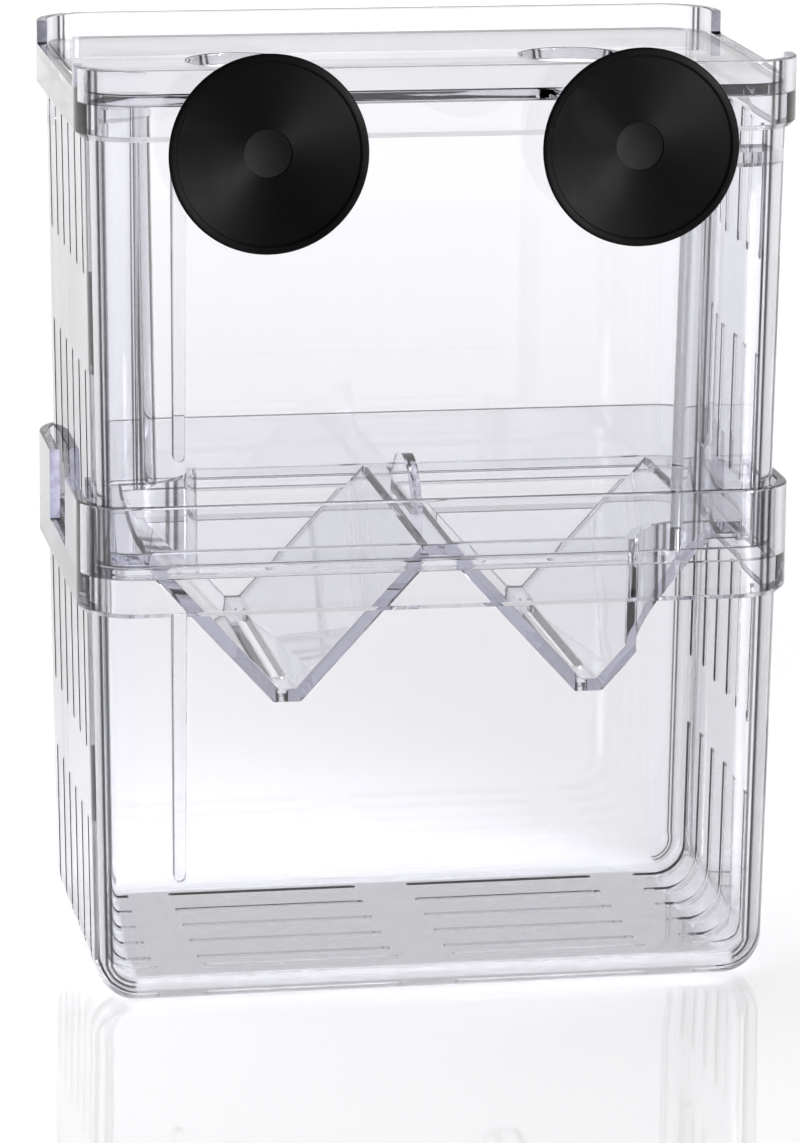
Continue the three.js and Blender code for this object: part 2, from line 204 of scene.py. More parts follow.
# %% World and lamps
def studio_world():
    """White to the camera and through the plastic. A mirror sees the room darken to the front."""
    made = bpy.data.worlds.new("studio")
    made.use_nodes = True
    tree = made.node_tree
    link = tree.links.new
    soft = tree.nodes["Background"]
    soft.inputs["Color"].default_value = (0.985, 0.99, 1.0, 1)
    soft.inputs["Strength"].default_value = 0.55
    white = node(tree, "ShaderNodeBackground", Color=(1, 1, 1, 1), Strength=1.0)
    room = node(tree, "ShaderNodeBackground", Strength=1.0)
    where = node(tree, "ShaderNodeTexCoord")
    split = node(tree, "ShaderNodeSeparateXYZ")
    link(where.outputs["Generated"], split.inputs["Vector"])
    link(smooth_step(tree, split.outputs["Y"], 0.0, 0.6, 0.04, 1.0), room.inputs["Color"])
    rays = node(tree, "ShaderNodeLightPath")
    first = node(tree, "ShaderNodeMixShader")
    link(seen_rays(tree), first.inputs["Fac"])
    link(soft.outputs["Background"], first.inputs[1])
    link(white.outputs["Background"], first.inputs[2])
    mix = node(tree, "ShaderNodeMixShader")
    link(rays.outputs["Is Glossy Ray"], mix.inputs["Fac"])
    link(first.outputs["Shader"], mix.inputs[1])
    link(room.outputs["Background"], mix.inputs[2])
    link(mix.outputs["Shader"], tree.nodes["World Output"].inputs["Surface"])
    return made


def softbox(name, place, size, power, shows=True):
    """A square lamp that faces the middle of the box. One that doesn't show leaves no highlight."""
    data = bpy.data.lights.new(name, "AREA")
    data.shape = "RECTANGLE"
    data.size, data.size_y = size
    data.energy = power
    made = bpy.data.objects.new(name, data)
    bpy.context.scene.collection.objects.link(made)
    made.location = place
    aim = Vector((0, 0, 0.08)) - Vector(place)
    made.rotation_euler = aim.to_track_quat("-Z", "Y").to_euler()
    made.visible_glossy = shows
    return made


bpy.context.scene.world = studio_world()
softbox("top softbox", (-0.3, 0.3, 1.6), (1.4, 1.4), 10, shows=False)
softbox("left softbox", (-1.3, -0.5, 0.6), (0.4, 1.2), 3, shows=False)
softbox("right softbox", (1.3, -0.9, 0.6), (0.6, 0.6), 9)
sheen_lamp = softbox("sheen lamp", (0.92, -1.57, 0.345), (0.35, 0.35), 85)
sheen_lamp.visible_diffuse = False
sheen_lamp.visible_transmission = False
bpy.context.scene.view_settings.view_transform = "Standard"
cycles = bpy.context.scene.cycles
cycles.max_bounces = 20
cycles.transmission_bounces = 18
cycles.glossy_bounces = 8
cycles.transparent_max_bounces = 32

# %% [markdown]
# ## Clear moulded plastic
# The real boxes are injection moulded in clear polystyrene. Seen flat on, a wall is almost
# nothing. Seen along its length, as at a rim, the same plastic is violet grey, because light
# runs through centimetres of it. So the tint is an absorption in the volume and not a colour on
# the surface. Along round corners and edges the plastic bends light far to the side, out of the
# white set and into the dark room, and that draws their dark lines. The set here is white all
# round, so those lines are painted shade in the surface colour. It darkens in two narrow bands
# where a wall turns round an upright corner, and on walls that are seen at a glance. Level floors
# and ledges stay light. Faint flow waves from the mould bend what is behind, and fine handling
# scratches and dust make the shine a little uneven. Shadow rays pass straight through, so that
# lamps reach the inside.

# %% Painted shade where the plastic turns
# Painted shade: grey steps by angle for the base colour, for walls, for plates and ledges, and for
# upright corners.
SHELL_WALL_PAINTED_SHADE = ((0.1, 0.985), (0.6, 0.97), (0.72, 0.92), (0.82, 0.32), (0.92, 0.2), (1.0, 0.05))
CLEAR_PLATE_PAINTED_SHADE = ((0.1, 0.985), (0.6, 0.98), (0.8, 0.94), (0.96, 0.85), (0.99, 0.5), (1.0, 0.1))
UPRIGHT_CORNER_PAINTED_SHADE = ((0.1, 0.95), (0.185, 0.8), (0.205, 0.03), (0.23, 0.05), (0.25, 0.8), (0.275, 0.7),
                  (0.29, 0.01), (0.325, 0.01), (0.37, 0.5), (0.6, 0.75), (0.9, 0.3), (1.0, 0.05))


def painted_angle_shade(tree, steps):
    """Painted shade: a grey for each angle, 0 where the surface faces the eye, 1 at its outline."""
    angle = node(tree, "ShaderNodeLayerWeight", (-900, 0), Blend=0.5)
    ramp = node(tree, "ShaderNodeValToRGB", (-600, 50))
    marks = ramp.color_ramp.elements
    marks[0].position, marks[1].position = steps[0][0], steps[-1][0]
    for place, _ in steps[1:-1]:
        marks.new(place)
    for mark, (place, tone) in zip(marks, steps):
        mark.color = (tone, tone, min(1, tone * 1.04), 1)
    tree.links.new(angle.outputs["Facing"], ramp.inputs["Fac"])
    return ramp.outputs["Color"]


def mixed(tree, share, first, second):
    """Two colours, from the first at a share of 0 to the second at 1."""
    made = node(tree, "ShaderNodeMix", (-300, 50), data_type="RGBA")
    tree.links.new(share, made.inputs["Factor"])
    tree.links.new(first, made.inputs[6])
    tree.links.new(second, made.inputs[7])
    return made.outputs[2]


def facing_way(tree):
    """The x, y and z of the way that the surface faces, on the piece itself."""
    where = node(tree, "ShaderNodeTexCoord")
    split = node(tree, "ShaderNodeSeparateXYZ")
    tree.links.new(where.outputs["Normal"], split.inputs["Vector"])
    return split


def level_shade_mask(tree):
    """Mask for the painted shade: 0 on upright walls, and 1 on level floors, ledges and rims."""
    size = reckon(tree, "ABSOLUTE", facing_way(tree).outputs["Z"])
    return smooth_step(tree, size, 0.5, 0.9, 0.0, 1.0)


def corner_shade_mask(tree):
    """Mask for the painted corner shade: 0 on flat walls and level edges, and 1 where a wall turns
    round an upright corner.

    Seen from inside the plastic it is 0 too, so that a ray that winds on in a wall gets no painted
    shade.
    """
    split = facing_way(tree)
    product = reckon(tree, "MULTIPLY", split.outputs["X"], split.outputs["Y"])
    turns = smooth_step(tree, reckon(tree, "ABSOLUTE", product), 0.02, 0.12, 0.0, 1.0)
    inside = node(tree, "ShaderNodeNewGeometry").outputs["Backfacing"]
    return reckon(tree, "MULTIPLY", turns, reckon(tree, "SUBTRACT", 1.0, inside))


# %% Clear plastic
def clear_plastic(name, tint, density, waves, haze, flat):
    """Refracting plastic: tint and density per metre, wave height in metres, scratch haze, and
    flat, the painted shade ramp for walls.
    """
    made = bpy.data.materials.new(name)
    made.use_nodes = True
    tree = made.node_tree
    link = tree.links.new
    surface = tree.nodes["Principled BSDF"]
    surface.inputs["Transmission Weight"].default_value = 1.0
    # The base colour is painted shade: it darkens by angle, on walls and level faces, and most in
    # bands at upright corners.
    painted_flat_face_shade = mixed(tree, level_shade_mask(tree), painted_angle_shade(tree, flat), painted_angle_shade(tree, CLEAR_PLATE_PAINTED_SHADE))
    look = mixed(tree, corner_shade_mask(tree), painted_flat_face_shade, painted_angle_shade(tree, UPRIGHT_CORNER_PAINTED_SHADE))
    where = node(tree, "ShaderNodeTexCoord", (-1500, 0))
    link(look, surface.inputs["Base Color"])
    surface.inputs["IOR"].default_value = 1.53
    flow = node(tree, "ShaderNodeMapping", (-1300, -250), Scale=(14, 14, 5))
    wave = node(tree, "ShaderNodeTexNoise", (-1100, -250), Scale=1.0, Detail=1.5)
    link(where.outputs["Object"], flow.inputs["Vector"])
    link(flow.outputs["Vector"], wave.inputs["Vector"])
    bump = node(tree, "ShaderNodeBump", (-500, -250), Strength=1.0, Distance=waves)
    link(wave.outputs["Fac"], bump.inputs["Height"])
    link(bump.outputs["Normal"], surface.inputs["Normal"])
    streak = node(tree, "ShaderNodeMapping", (-1300, 250), Scale=(900, 900, 60),
                  Rotation=(0.3, 0.5, 0.9))
    scratch = node(tree, "ShaderNodeTexNoise", (-1100, 250), Scale=1.0, Detail=4.0)
    dust = node(tree, "ShaderNodeTexNoise", (-1100, 500), Scale=55.0, Detail=5.0)
    link(where.outputs["Object"], streak.inputs["Vector"])
    link(streak.outputs["Vector"], scratch.inputs["Vector"])
    link(where.outputs["Object"], dust.inputs["Vector"])
    both = reckon(tree, "MULTIPLY", scratch.outputs["Fac"], dust.outputs["Fac"])
    rough = node(tree, "ShaderNodeMapRange", (-600, 350), From_Min=0.2, From_Max=0.5,
                 To_Min=0.004, To_Max=haze)
    link(both, rough.inputs["Value"])
    link(rough.outputs["Result"], surface.inputs["Roughness"])
    rays = node(tree, "ShaderNodeLightPath", (0, 400))
    lets_light = node(tree, "ShaderNodeBsdfTransparent", (0, -500), Color=(0.95, 0.95, 0.955, 1))
    mix = node(tree, "ShaderNodeMixShader", (500, 200))
    link(rays.outputs["Is Shadow Ray"], mix.inputs["Fac"])
    link(surface.outputs["BSDF"], mix.inputs[1])
    link(lets_light.outputs["BSDF"], mix.inputs[2])
    out = tree.nodes["Material Output"]
    link(mix.outputs["Shader"], out.inputs["Surface"])
    body = node(tree, "ShaderNodeVolumeAbsorption", (500, -200), Color=tint, Density=density)
    link(body.outputs["Volume"], out.inputs["Volume"])
    return made


shell_plastic = clear_plastic("clear shell plastic", (0.40, 0.405, 0.45, 1), 46, 0.0003, 0.012,
                              SHELL_WALL_PAINTED_SHADE)
# The lower box gets a denser, darker copy of the shell plastic: painted shade that makes it look
# greyer than the upper box.
shaded_lower_box_plastic = clear_plastic("clear lower box plastic", (0.40, 0.41, 0.44, 1), 52, 0.0003, 0.012,
                             SHELL_WALL_PAINTED_SHADE)
tray_plastic = clear_plastic("clear tray plastic", (0.42, 0.41, 0.55, 1), 15, 0.0003, 0.015,
                             CLEAR_PLATE_PAINTED_SHADE)
lid_plastic = clear_plastic("clear lid plastic", (0.42, 0.41, 0.52, 1), 6, 0.0003, 0.012,
                            CLEAR_PLATE_PAINTED_SHADE)
print("clear materials:", [m.name for m in bpy.data.materials if "clear" in m.name])


# %% Ends of a wall that is cut off
def painted_end_light_material():
    """Painted light and shade: a plain violet grey, as a rim's end has where light that ran along
    inside comes out.
    """
    made = bpy.data.materials.new("cut plastic")
    made.use_nodes = True
    tree = made.node_tree
    surface = tree.nodes["Principled BSDF"]
    surface.inputs["Roughness"].default_value = 0.25
    where = node(tree, "ShaderNodeTexCoord")
    cloud = node(tree, "ShaderNodeTexNoise", Scale=420.0, Detail=3.0)
    tree.links.new(where.outputs["Object"], cloud.inputs["Vector"])
    tone = node(tree, "ShaderNodeValToRGB")
    tone.color_ramp.elements[0].position = 0.3
    tone.color_ramp.elements[0].color = (0.11, 0.108, 0.15, 1)
    tone.color_ramp.elements[1].position = 0.7
    tone.color_ramp.elements[1].color = (0.25, 0.245, 0.3, 1)
    tree.links.new(cloud.outputs["Fac"], tone.inputs["Fac"])
    tree.links.new(tone.outputs["Color"], surface.inputs["Base Color"])
    return made


painted_end_light = painted_end_light_material()


def paint_end_light(obj, half_width, low):
    """Gives the ends of a rim at its two gaps, above a height, the painted light and shade of a cut
    end.
    """
    obj.data.materials.append(painted_end_light)
    for face in obj.data.polygons:
        place = face.center / MM
        at_gap = abs(abs(place.y) - half_width) < 0.3 and abs(place.x) > BOX_HALF[0] - 2 * RIM_WALL
        if at_gap and place.z > low and abs(face.normal.y) > 0.9:
            face.material_index = 1


# %% [markdown]
# ## Mesh helpers
# A moulded box is one cross-section carried round a rectangle with rounded corners. So its wall
# is drawn once, as a line of points that give how far each lies in from the outside and how high
# it is, and every point becomes one ring. Rounding the corners of that line rounds the rims and
# ledges of the whole box at once, and cleaner than a bevel after the cuts would.

# %% Rounded corners in a line of points
def softened(points, steps=3):
    """Points are (a, b) or (a, b, radius). Each one with a radius becomes a short arc."""
    line = []
    count = len(points)
    for i, point in enumerate(points):
        radius = point[2] if len(point) > 2 else 0
        here = Vector(point[:2])
        if not radius:
            line.append(tuple(here))
            continue
        before = (Vector(points[i - 1][:2]) - here).normalized()
        after = (Vector(points[(i + 1) % count][:2]) - here).normalized()
        half_angle = before.angle(after) / 2
        reach = radius / math.tan(half_angle)
        middle = here + (before + after).normalized() * (radius / math.sin(half_angle))
        first, last = here + before * reach - middle, here + after * reach - middle
        swing = first.angle_signed(last)
        for step in range(steps + 1):
            spot = first.copy()
            spot.rotate(Matrix.Rotation(-swing * step / steps, 2))
            line.append(tuple(middle + spot))
    return line


# %% Rings and shells
def finished_mesh(name, shape):
    """A mesh from a bmesh, closed and with its faces turned outwards."""
    bmesh.ops.remove_doubles(shape, verts=shape.verts, dist=1e-7)
    bmesh.ops.recalc_face_normals(shape, faces=shape.faces)
    mesh = bpy.data.meshes.new(name)
    shape.to_mesh(mesh)
    shape.free()
    return mesh


def rounded_ring(half_x, half_y, radius, z):
    """A rectangle with rounded corners, anticlockwise seen from above."""
    ring = []
    for corner in range(4):
        side_x = 1 if corner in (0, 3) else -1
        side_y = 1 if corner < 2 else -1
        for step in range(CORNER_STEPS + 1):
            angle = (corner + step / CORNER_STEPS) * math.pi / 2
            ring.append(Vector((side_x * (half_x - radius) + radius * math.cos(angle),
                                side_y * (half_y - radius) + radius * math.sin(angle), z)))
    return ring


def carried_round(name, profile, closed, half=BOX_HALF, radius=BOX_RADIUS):
    """Carries a profile of (inset, height) round the box. An open one is closed by flat caps."""
    shape = bmesh.new()
    rings = []
    for inset, z in profile:
        ring = rounded_ring(half[0] - inset, half[1] - inset, max(radius - inset, 0.5), z)
        rings.append([shape.verts.new(p * MM) for p in ring])
    pairs = list(zip(rings, rings[1:]))
    if closed:
        pairs.append((rings[-1], rings[0]))
    for low, high in pairs:
        for i in range(len(low)):
            j = (i + 1) % len(low)
            shape.faces.new((low[i], low[j], high[j], high[i]))
    if not closed:
        shape.faces.new(list(reversed(rings[0])))
        shape.faces.new(rings[-1])
    return finished_mesh(name, shape)


# %% Prisms and turned shapes
def prism(name, outline, axis, low, high, edge=0.0):
    """An outline in two of the axes, carried along the third. axis is the one that it follows."""
    order = {"x": lambda a, b, t: (t, a, b), "y": lambda a, b, t: (a, t, b),
             "z": lambda a, b, t: (a, b, t)}[axis]
    shape = bmesh.new()
    near = [shape.verts.new(Vector(order(a, b, low)) * MM) for a, b in outline]
    far = [shape.verts.new(Vector(order(a, b, high)) * MM) for a, b in outline]
    for i in range(len(outline)):
        j = (i + 1) % len(outline)
        shape.faces.new((near[i], near[j], far[j], far[i]))
    ends = [shape.faces.new(list(reversed(near))), shape.faces.new(far)]
    if edge:
        rims = list({e for face in ends for e in face.edges})
        bmesh.ops.bevel(shape, geom=rims, offset=edge * MM, segments=2, profile=0.5,
                        affect="EDGES")
    return finished_mesh(name, shape)


def turned(name, profile, centre, axis, steps=96):
    """A closed profile of (radius, along) turned about an axis through centre."""
    shape = bmesh.new()
    rings = []
    for radius, along in profile:
        count = 1 if radius < 1e-6 else steps
        ring = []
        for i in range(count):
            angle = 2 * math.pi * i / steps
            a, b = radius * math.cos(angle), radius * math.sin(angle)
            place = (a, along, b) if axis == "y" else (a, b, along)
            ring.append(shape.verts.new((Vector(centre) + Vector(place)) * MM))
        rings.append(ring)
    for low, high in zip(rings, rings[1:]):
        for i in range(steps):
            j = (i + 1) % steps
            corners = [low[i % len(low)], low[j % len(low)]]
            corners += [high[j % len(high)], high[i % len(high)]]
            corners = [c for k, c in enumerate(corners) if c not in corners[:k]]
            if len(corners) > 2:
                shape.faces.new(corners)
    if len(rings[0]) > 1:
        shape.faces.new(list(reversed(rings[0])))
    if len(rings[-1]) > 1:
        shape.faces.new(rings[-1])
    return finished_mesh(name, shape)


# %% Joining, cutting and finishing
def evaluated(obj):
    """Replaces an object's mesh by what its modifiers make of it."""
    graph = bpy.context.evaluated_depsgraph_get()
    graph.update()
    mesh = bpy.data.meshes.new_from_object(obj.evaluated_get(graph))
    obj.modifiers.clear()
    obj.data = mesh
    return obj


def combined(obj, meshes, operation):
    """Adds meshes to an object, or takes them away from it."""
    for mesh in meshes:
        helper = new_object("helper", mesh)
        step = obj.modifiers.new("step", "BOOLEAN")
        step.operation, step.solver, step.object = operation, "EXACT", helper
        evaluated(obj)
        bpy.data.objects.remove(helper)
    return obj


def finish_piece(obj, material, angle=38):
    """Smooth round shapes with flat walls left flat, and one material."""
    mesh = obj.data
    mesh.materials.clear()
    mesh.materials.append(material)
    for face in mesh.polygons:
        face.material_index = 0
    mesh.shade_smooth()
    mesh.set_sharp_from_angle(angle=math.radians(angle))
    weigh = obj.modifiers.new("weigh", "WEIGHTED_NORMAL")
    weigh.keep_sharp = True
    weigh.weight = 80
    evaluated(obj)
    obj.data.name = obj.name
    print(obj.name, len(obj.data.polygons), "faces, box mm",
          [round(v / MM, 2) for corner in (0, 6) for v in obj.bound_box[corner]])
    return obj


# %% [markdown]
# ## Water slots
# Both boxes are pierced by rows of slots, six in a row and all alike. One slot is a small prism
# with round ends. A Geometry Nodes tree draws it once, sets it on a line of points, and cuts the
# whole row out of the wall, so that its width, spacing and ends stay numbers to the end. A row
# near the bottom edge is two prisms, one through the wall and one through the floor, and
# together they cut a slot that wraps round the edge.

# %% Geometry Nodes: one row of slot cutters
def sockets(tree, named):
    for name, kind, value in named:
        made = tree.interface.new_socket(name=name, in_out="INPUT", socket_type=kind)
        if value is not None:
            made.default_value = value
    tree.interface.new_socket(name="Geometry", in_out="OUTPUT", socket_type="NodeSocketGeometry")


def slot_row_tree():
    """One slot's cutter, drawn flat, carried along Z, turned, and set on a line along Y."""
    tree = bpy.data.node_groups.new("Slot row", "GeometryNodeTree")
    number = "NodeSocketFloat"
    sockets(tree, [("Slot width", number, 0.0016), ("Spacing", number, 0.01),
                   ("Rows", "NodeSocketInt", 6), ("Low end", number, 0), ("High end", number, 0.01),
                   ("Near", number, 0), ("Far", number, 0.01),
                   ("Turn", "NodeSocketRotation", None)])
    link = tree.links.new
    given = node(tree, "NodeGroupInput").outputs
    length = reckon(tree, "SUBTRACT", given["High end"], given["Low end"])
    middle = reckon(tree, "MULTIPLY", reckon(tree, "ADD", given["High end"], given["Low end"]), 0.5)
    flat = node(tree, "GeometryNodeCurvePrimitiveQuadrilateral")
    link(given["Slot width"], flat.inputs["Width"])
    link(length, flat.inputs["Height"])
    rounded = node(tree, "GeometryNodeFilletCurve", mode="POLY")
    link(flat.outputs["Curve"], rounded.inputs["Curve"])
    link(reckon(tree, "MULTIPLY", given["Slot width"], 0.499), rounded.inputs["Radius"])
    rounded.inputs["Count"].default_value = 5
    path = node(tree, "GeometryNodeCurvePrimitiveLine")
    ends = [node(tree, "ShaderNodeCombineXYZ") for _ in range(2)]
    for end, socket, name in zip(ends, ("Near", "Far"), ("Start", "End")):
        link(given[socket], end.inputs["Z"])
        link(end.outputs[0], path.inputs[name])
    solid = node(tree, "GeometryNodeCurveToMesh", Fill_Caps=True)
    link(path.outputs["Curve"], solid.inputs["Curve"])
    link(rounded.outputs["Curve"], solid.inputs["Profile Curve"])
    shift = node(tree, "ShaderNodeCombineXYZ")
    link(middle, shift.inputs["Y"])
    moved = node(tree, "GeometryNodeTransform")
    link(solid.outputs["Mesh"], moved.inputs["Geometry"])
    link(shift.outputs[0], moved.inputs["Translation"])
    turned_solid = node(tree, "GeometryNodeTransform")
    link(moved.outputs["Geometry"], turned_solid.inputs["Geometry"])
    link(given["Turn"], turned_solid.inputs["Rotation"])
    first, offset = node(tree, "ShaderNodeCombineXYZ"), node(tree, "ShaderNodeCombineXYZ")
    gaps = reckon(tree, "MULTIPLY", reckon(tree, "SUBTRACT", given["Rows"], 1), -0.5)
    link(reckon(tree, "MULTIPLY", gaps, given["Spacing"]), first.inputs["Y"])
    link(given["Spacing"], offset.inputs["Y"])
    line = node(tree, "GeometryNodeMeshLine")
    link(given["Rows"], line.inputs["Count"])
    link(first.outputs[0], line.inputs["Start Location"])
    link(offset.outputs[0], line.inputs["Offset"])
    copies = node(tree, "GeometryNodeInstanceOnPoints")
    link(line.outputs["Mesh"], copies.inputs["Points"])
    link(turned_solid.outputs["Geometry"], copies.inputs["Instance"])
    real = node(tree, "GeometryNodeRealizeInstances")
    link(copies.outputs["Instances"], real.inputs["Geometry"])
    link(real.outputs["Geometry"], node(tree, "NodeGroupOutput").inputs["Geometry"])
    return tree


slot_row = slot_row_tree()
UPRIGHT = (math.pi / 2, 0, math.pi / 2)
LYING = (0, 0, -math.pi / 2)


# %% Geometry Nodes: cut several rows out of a shell
def slotted_tree(name, rows):
    """rows is a list of (label, turn, low, high, near, far) in millimetres."""
    tree = bpy.data.node_groups.new(name, "GeometryNodeTree")
    number = "NodeSocketFloat"
    named = [("Shell", "NodeSocketGeometry", None), ("Slot width", number, 0.0016),
             ("Spacing", number, 0.01), ("Rows", "NodeSocketInt", 6),
             ("Plastic", "NodeSocketMaterial", None)]
    for label, _, *ends in rows:
        for part, value in zip(("low end", "high end", "near", "far"), ends):
            named.append((label + " " + part, number, value * MM))
    sockets(tree, named)
    link = tree.links.new
    given = node(tree, "NodeGroupInput").outputs
    cut = node(tree, "GeometryNodeMeshBoolean", operation="DIFFERENCE", solver="EXACT")
    link(given["Shell"], cut.inputs["Mesh 1"])
    for label, turn, *_ in rows:
        row = node(tree, "GeometryNodeGroup", node_tree=slot_row)
        for socket in ("Slot width", "Spacing", "Rows"):
            link(given[socket], row.inputs[socket])
        for socket in ("Low end", "High end", "Near", "Far"):
            link(given[label + " " + socket.lower()], row.inputs[socket])
        row.inputs["Turn"].default_value = turn
        link(row.outputs["Geometry"], cut.inputs["Mesh 2"])
    real = node(tree, "GeometryNodeRealizeInstances")
    paint = node(tree, "GeometryNodeSetMaterial")
    link(cut.outputs["Mesh"], real.inputs["Geometry"])
    link(real.outputs["Geometry"], paint.inputs["Geometry"])
    link(given["Plastic"], paint.inputs["Material"])
    link(paint.outputs["Geometry"], node(tree, "NodeGroupOutput").inputs["Geometry"])
    return tree


def cut_slots(obj, tree, values):
    """Runs a tree on a piece. Inputs are set by the sockets' identifiers."""
    step = obj.modifiers.new("slots", "NODES")
    step.node_group = tree
    for item in tree.interface.items_tree:
        if item.item_type == "SOCKET" and item.in_out == "INPUT" and item.name in values:
            step[item.identifier] = values[item.name]
    before = len(obj.data.polygons)
    evaluated(obj)
    print(obj.name, "had", before, "faces, with slots", len(obj.data.polygons))
    return obj


# %% [markdown]
# ## Lower box
# The fry live in the lower box. Its wall leans out a little so that it leaves its mould, the
# bottom edge is a wide round, and near the top a collar steps out and leaves a ledge inside for
# the tray. A gap in the rim on the left and on the right lets a fingertip in. Two tapered ribs
# run down the front under the collar.

# %% Wall profile of the lower box
def arc(middle, radius, start, stop, steps=10):
    """Points of an arc round a middle, between two angles in degrees."""
    turns = [math.radians(start + (stop - start) * i / steps) for i in range(steps + 1)]
    return [(middle[0] + radius * math.cos(t), middle[1] + radius * math.sin(t)) for t in turns]


lower_lean = LOWER["collar"] * DRAFT
outer_foot = COLLAR_STEP + lower_lean
inner_foot = outer_foot + WALL
lower_profile = arc((outer_foot + BOTTOM_RADIUS, BOTTOM_RADIUS), BOTTOM_RADIUS, 270, 180)
lower_profile += softened([
    (outer_foot, BOTTOM_RADIUS), (COLLAR_STEP, LOWER["collar"], 0.15),
    (1.0, LOWER["collar"], 0.25), (0.0, LOWER["collar"] + 1.0, 0.3),
    (0.0, LOWER["rim"], 0.35), (RIM_WALL, LOWER["rim"], 0.35),
    (RIM_WALL, LOWER["ledge"], 0.2), (COLLAR_STEP + WALL, LOWER["ledge"], 0.3),
    (inner_foot, LOWER["inside"] + BOTTOM_RADIUS - WALL)])[1:-1]
lower_profile += arc((inner_foot + BOTTOM_RADIUS - WALL, LOWER["inside"] + BOTTOM_RADIUS - WALL),
                     BOTTOM_RADIUS - WALL, 180, 270)
print("lower wall profile:", len(lower_profile), "points")


# %% Ribs, gaps and the lower shell
def tapered_rib(x, top, length, top_width=2.75, end_width=2.05):
    """A rib on the front wall, round at its lower end."""
    round_z = top - length + end_width / 2
    outline = [(x + top_width / 2, top), (x - top_width / 2, top)]
    outline += arc((x, round_z), end_width / 2, 180, 360, 12)
    front = -BOX_HALF[1]
    return prism("rib", outline, "y", front, front + COLLAR_STEP + WALL / 2, edge=0.3)


def rim_gap(side, width, low, high, corner=0.5):
    """A box that opens a rim on one side."""
    half_width = width / 2
    outline = softened([(-half_width, high), (-half_width, low, corner),
                        (half_width, low, corner), (half_width, high)])
    ends = sorted((side * (BOX_HALF[0] - 2 * RIM_WALL), side * (BOX_HALF[0] + 3)))
    return prism("gap", outline, "x", *ends)


lower_box = new_object("lower_box_shell", carried_round("lower_box_shell", lower_profile, False))
combined(lower_box, [tapered_rib(x, LOWER["collar"] + 1, LOWER["collar"] * 0.68)
                     for x in (-RIB_X, RIB_X)], "UNION")
combined(lower_box, [rim_gap(side, LOWER_GAP, LOWER["ledge"], LOWER["rim"] + 3)
                     for side in (-1, 1)], "DIFFERENCE")
print("lower shell with ribs and gaps:", len(lower_box.data.polygons), "faces")

# %% Slots of the lower box
inner_x = BOX_HALF[0] - COLLAR_STEP - WALL - 3
outer_x = BOX_HALF[0] + 2
wrap_x = BOX_HALF[0] - COLLAR_STEP - WALL - 11.25
BELOW, ABOVE = -3, BOTTOM_RADIUS + 3
edge_top, side_low = LOWER["collar"] * 0.457, LOWER["collar"] * 0.634
lower_rows = [("Side slots", UPRIGHT, side_low, LOWER["collar"] - 0.6, -outer_x, outer_x)]
for label, side in (("Left", -1), ("Right", 1)):
    through = sorted((side * inner_x, side * outer_x))
    edge = sorted((side * wrap_x, side * (outer_x + 1)))
    long = sorted((side * 5.0, side * (wrap_x - 8.45)))
    lower_rows += [(label + " edge slots in the wall", UPRIGHT, BELOW, edge_top, *through),
                   (label + " edge slots in the floor", LYING, *edge, BELOW, ABOVE),
                   (label + " floor slots", LYING, *long, BELOW, ABOVE)]
cut_slots(lower_box, slotted_tree("Lower box slots", lower_rows), {**ROW, "Plastic": shaded_lower_box_plastic})
finish_piece(lower_box, shaded_lower_box_plastic)
paint_end_light(lower_box, LOWER_GAP / 2, LOWER["ledge"])

# %% [markdown]
# ## Upper box
# The mother fish swims in the upper box. It has the same leaning wall and collar, but no floor,
# so the line of its cross-section is closed and goes round as a frame. Two round bosses on the
# front wall take the plugs of the suction cups. When all is joined, the slots are cut, and then
# the holes for the cups. The ends of the rim at its two gaps get a material of their own, lighter
# than clear plastic, as on the real box. It is an opaque violet grey, painted light and shade that
# stand in for the light which runs along inside the rim and comes out at its ends.

# %% Upper shell
upper_lean = (UPPER["collar"] - UPPER["foot"]) * DRAFT
upper_profile = softened([
    (COLLAR_STEP + upper_lean, UPPER["foot"], 0.3), (COLLAR_STEP, UPPER["collar"], 0.15),
    (1.0, UPPER["collar"], 0.25), (0.0, UPPER["collar"] + 1.0, 0.3),
    (0.0, UPPER["rim"], 0.35), (RIM_WALL, UPPER["rim"], 0.35),
    (RIM_WALL, UPPER["ledge"], 0.2), (COLLAR_STEP + WALL, UPPER["ledge"], 0.3),
    (COLLAR_STEP + WALL, UPPER["collar"]),
    (COLLAR_STEP + WALL + upper_lean, UPPER["foot"], 0.3)])
upper_box = new_object("upper_box_shell", carried_round("upper_box_shell", upper_profile, True))

CUP_X, CUP_Z, BOSS_RADIUS, HOLE_RADIUS = 33.0, 157.9, 5.5, 2.6
front_face = -BOX_HALF[1]
upper_length = (UPPER["collar"] - UPPER["foot"]) * 0.76
combined(upper_box, [tapered_rib(x, UPPER["collar"] + 1, upper_length) for x in (-RIB_X, RIB_X)],
         "UNION")
boss_front = front_face + HAIR
boss_profile = softened([(0, boss_front), (BOSS_RADIUS, boss_front, 0.4),
                         (BOSS_RADIUS, front_face + 2.8), (0, front_face + 2.8)])
combined(upper_box, [turned("boss", boss_profile, (x, 0, CUP_Z), "y") for x in (-CUP_X, CUP_X)],
         "UNION")
combined(upper_box, [rim_gap(side, UPPER_GAP, UPPER["rim"] - 4.3, UPPER["rim"] + 3)
                     for side in (-1, 1)], "DIFFERENCE")
print("upper shell with ribs, bosses and gaps:", len(upper_box.data.polygons), "faces")

# %% [markdown]
# ## Corner channels
# Two corners of the upper box, front right and back left, are walled off by a quarter-round wall
# that goes down through the tray's cut-outs and is closed at the top by a cap. The wall is an
# outline in plan carried upwards. Then it leans outwards like the box's own walls. The one at the
# back left is the same shape turned half round.

